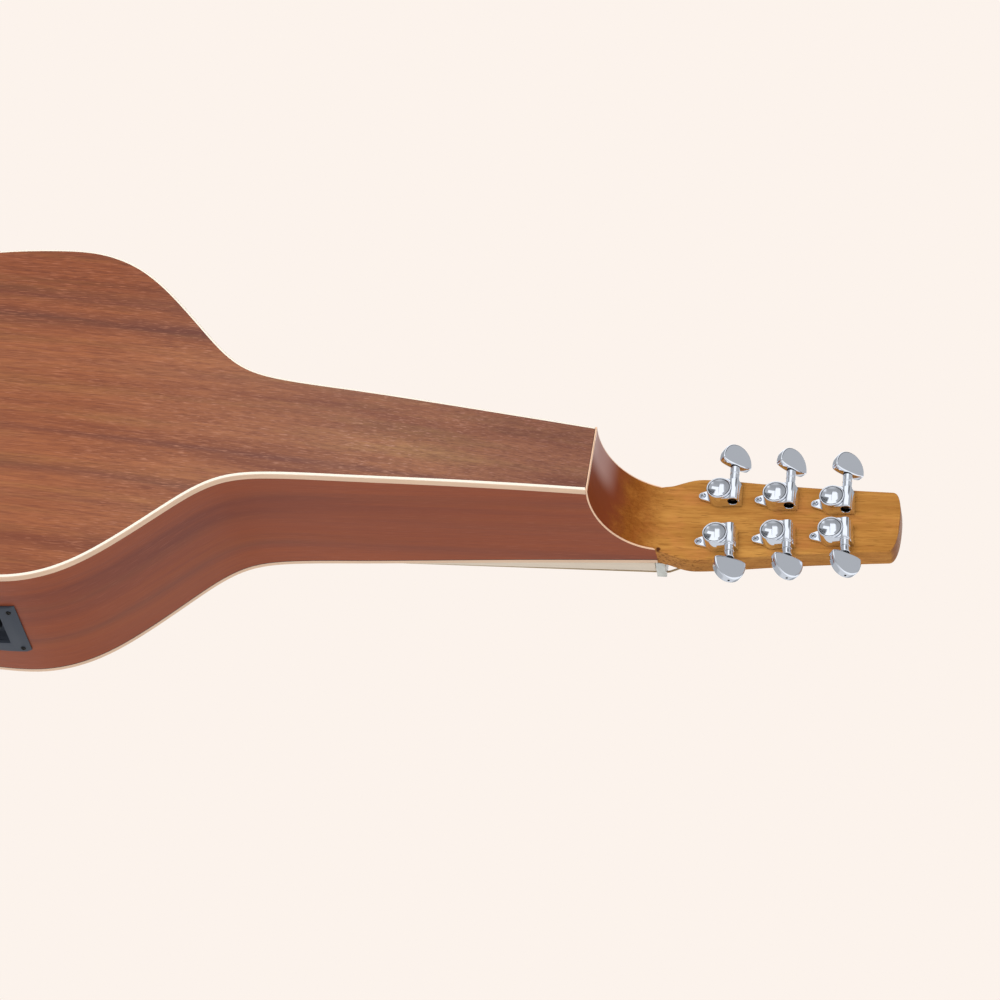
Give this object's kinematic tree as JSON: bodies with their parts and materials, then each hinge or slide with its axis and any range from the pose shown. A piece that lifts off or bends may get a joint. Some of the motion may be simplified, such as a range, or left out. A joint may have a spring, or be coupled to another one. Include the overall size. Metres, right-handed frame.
{
  "type": "lap slide guitar",
  "caption": "Hollow-necked acoustic lap slide guitar with a raised nut, bridge with pins, side preamp and geared tuners on a slim solid head.",
  "frame": {"origin": "middle of the whole guitar's outline, on the surface that it lies on with its back down", "axes": "+X from the tail to the head, +Y to the bass side, +Z out of the top towards the strings"},
  "size_m": [0.9916, 0.3972, 0.129],
  "materials": {
    "side_wood": "satin, ribbon-striped red-brown",
    "back_wood": "satin, ribbon-striped red-brown",
    "head_wood": "gloss, golden brown",
    "dark_wood": "satin, near black",
    "brace_wood": "bare, pale",
    "cream_strip": "satin, cream",
    "peach_strip": "satin, peach",
    "bone": "polished, grey-white",
    "chrome": "polished",
    "steel": "bright",
    "black_plastic": "satin, black"
  },
  "bodies": {
    "guitar": {"soundboard": "back_wood", "back_plate": "back_wood", "rib_bass": "side_wood", "rib_treble": "side_wood", "top_binding": "cream_strip", "back_binding": "cream_strip", "heel_binding": "peach_strip", "neck_heel_headstock": "head_wood", "tail_block": "brace_wood", "top_lining_bass": "brace_wood", "top_lining_treble": "brace_wood", "back_lining_bass": "brace_wood", "back_lining_treble": "brace_wood", "x_brace": "brace_wood", "bridge_plate": "brace_wood", "back_brace_upper": "brace_wood", "back_brace_middle": "brace_wood", "back_brace_lower": "brace_wood", "fingerboard": "dark_wood", "fingerboard_binding": "cream_strip", "nut": "bone", "bridge": "dark_wood", "saddle": "bone", "bridge_pin_1": "bone", "bridge_pin_2": "bone", "bridge_pin_3": "bone", "bridge_pin_4": "bone", "bridge_pin_5": "bone", "bridge_pin_6": "bone", "string_1": "steel", "string_2": "steel", "string_3": "steel", "string_4": "steel", "string_5": "steel", "string_6": "steel", "tuner_housing_bass_1": "chrome", "tuner_housing_bass_2": "chrome", "tuner_housing_bass_3": "chrome", "tuner_housing_treble_1": "chrome", "tuner_housing_treble_2": "chrome", "tuner_housing_treble_3": "chrome", "preamp_housing": "black_plastic", "end_pin_jack": "steel"},
    "key_bass_1": {"tuner_key_bass_1": "chrome"},
    "post_bass_1": {"tuner_post_bass_1": "chrome"},
    "key_bass_2": {"tuner_key_bass_2": "chrome"},
    "post_bass_2": {"tuner_post_bass_2": "chrome"},
    "key_bass_3": {"tuner_key_bass_3": "chrome"},
    "post_bass_3": {"tuner_post_bass_3": "chrome"},
    "key_treble_1": {"tuner_key_treble_1": "chrome"},
    "post_treble_1": {"tuner_post_treble_1": "chrome"},
    "key_treble_2": {"tuner_key_treble_2": "chrome"},
    "post_treble_2": {"tuner_post_treble_2": "chrome"},
    "key_treble_3": {"tuner_key_treble_3": "chrome"},
    "post_treble_3": {"tuner_post_treble_3": "chrome"},
    "volume_knob": {"preamp_volume_knob": "black_plastic"},
    "slider_bass": {"preamp_slider_bass": "black_plastic"},
    "slider_middle": {"preamp_slider_middle": "black_plastic"},
    "slider_treble": {"preamp_slider_treble": "black_plastic"}
  },
  "joints": [
    {"name": "key_turn_bass_1", "type": "hinge", "parent": "guitar", "child": "key_bass_1", "pos_m": [0.38709, 0.01703, 0.08721], "axis": [0.0957, 0.9954, -0.005], "continuous": true},
    {"name": "post_turn_bass_1", "type": "hinge", "parent": "guitar", "child": "post_bass_1", "pos_m": [0.37839, 0.0179, 0.09427], "axis": [0.0523, 0, 0.9986], "continuous": true},
    {"name": "key_turn_bass_2", "type": "hinge", "parent": "guitar", "child": "key_bass_2", "pos_m": [0.42404, 0.01438, 0.08527], "axis": [0.0957, 0.9954, -0.005], "continuous": true},
    {"name": "post_turn_bass_2", "type": "hinge", "parent": "guitar", "child": "post_bass_2", "pos_m": [0.41534, 0.01525, 0.09234], "axis": [0.0523, 0, 0.9986], "continuous": true},
    {"name": "key_turn_bass_3", "type": "hinge", "parent": "guitar", "child": "key_bass_3", "pos_m": [0.46099, 0.01173, 0.08334], "axis": [0.0957, 0.9954, -0.005], "continuous": true},
    {"name": "post_turn_bass_3", "type": "hinge", "parent": "guitar", "child": "post_bass_3", "pos_m": [0.45229, 0.0126, 0.0904], "axis": [0.0523, 0, 0.9986], "continuous": true},
    {"name": "key_turn_treble_1", "type": "hinge", "parent": "guitar", "child": "key_treble_1", "pos_m": [0.38592, -0.0183, 0.08727], "axis": [0.0436, 0.999, -0.0023], "continuous": true},
    {"name": "post_turn_treble_1", "type": "hinge", "parent": "guitar", "child": "post_treble_1", "pos_m": [0.37719, -0.0179, 0.09434], "axis": [0.0523, 0, 0.9986], "continuous": true},
    {"name": "key_turn_treble_2", "type": "hinge", "parent": "guitar", "child": "key_treble_2", "pos_m": [0.42287, -0.01565, 0.08533], "axis": [0.0436, 0.999, -0.0023], "continuous": true},
    {"name": "post_turn_treble_2", "type": "hinge", "parent": "guitar", "child": "post_treble_2", "pos_m": [0.41414, -0.01525, 0.0924], "axis": [0.0523, 0, 0.9986], "continuous": true},
    {"name": "key_turn_treble_3", "type": "hinge", "parent": "guitar", "child": "key_treble_3", "pos_m": [0.45982, -0.013, 0.0834], "axis": [0.0436, 0.999, -0.0023], "continuous": true},
    {"name": "post_turn_treble_3", "type": "hinge", "parent": "guitar", "child": "post_treble_3", "pos_m": [0.45109, -0.0126, 0.09046], "axis": [0.0523, 0, 0.9986], "continuous": true},
    {"name": "volume_turn", "type": "hinge", "parent": "guitar", "child": "volume_knob", "pos_m": [-0.07467, 0.12818, 0.0595], "axis": [-0.0989, 0.9951, 0], "range_deg": [-140, 140]},
    {"name": "slider_bass_slide", "type": "slide", "parent": "guitar", "child": "slider_bass", "axis": [0, 0, 1], "range_m": [-0.008, 0.008]},
    {"name": "slider_middle_slide", "type": "slide", "parent": "guitar", "child": "slider_middle", "axis": [0, 0, 1], "range_m": [-0.008, 0.008]},
    {"name": "slider_treble_slide", "type": "slide", "parent": "guitar", "child": "slider_treble", "axis": [0, 0, 1], "range_m": [-0.008, 0.008]}
  ],
  "couplings": [
    {"joint": "post_turn_bass_1", "follows": "key_turn_bass_1", "ratio": 0.071429},
    {"joint": "post_turn_bass_2", "follows": "key_turn_bass_2", "ratio": 0.071429},
    {"joint": "post_turn_bass_3", "follows": "key_turn_bass_3", "ratio": 0.071429},
    {"joint": "post_turn_treble_1", "follows": "key_turn_treble_1", "ratio": -0.071429},
    {"joint": "post_turn_treble_2", "follows": "key_turn_treble_2", "ratio": -0.071429},
    {"joint": "post_turn_treble_3", "follows": "key_turn_treble_3", "ratio": -0.071429}
  ]
}
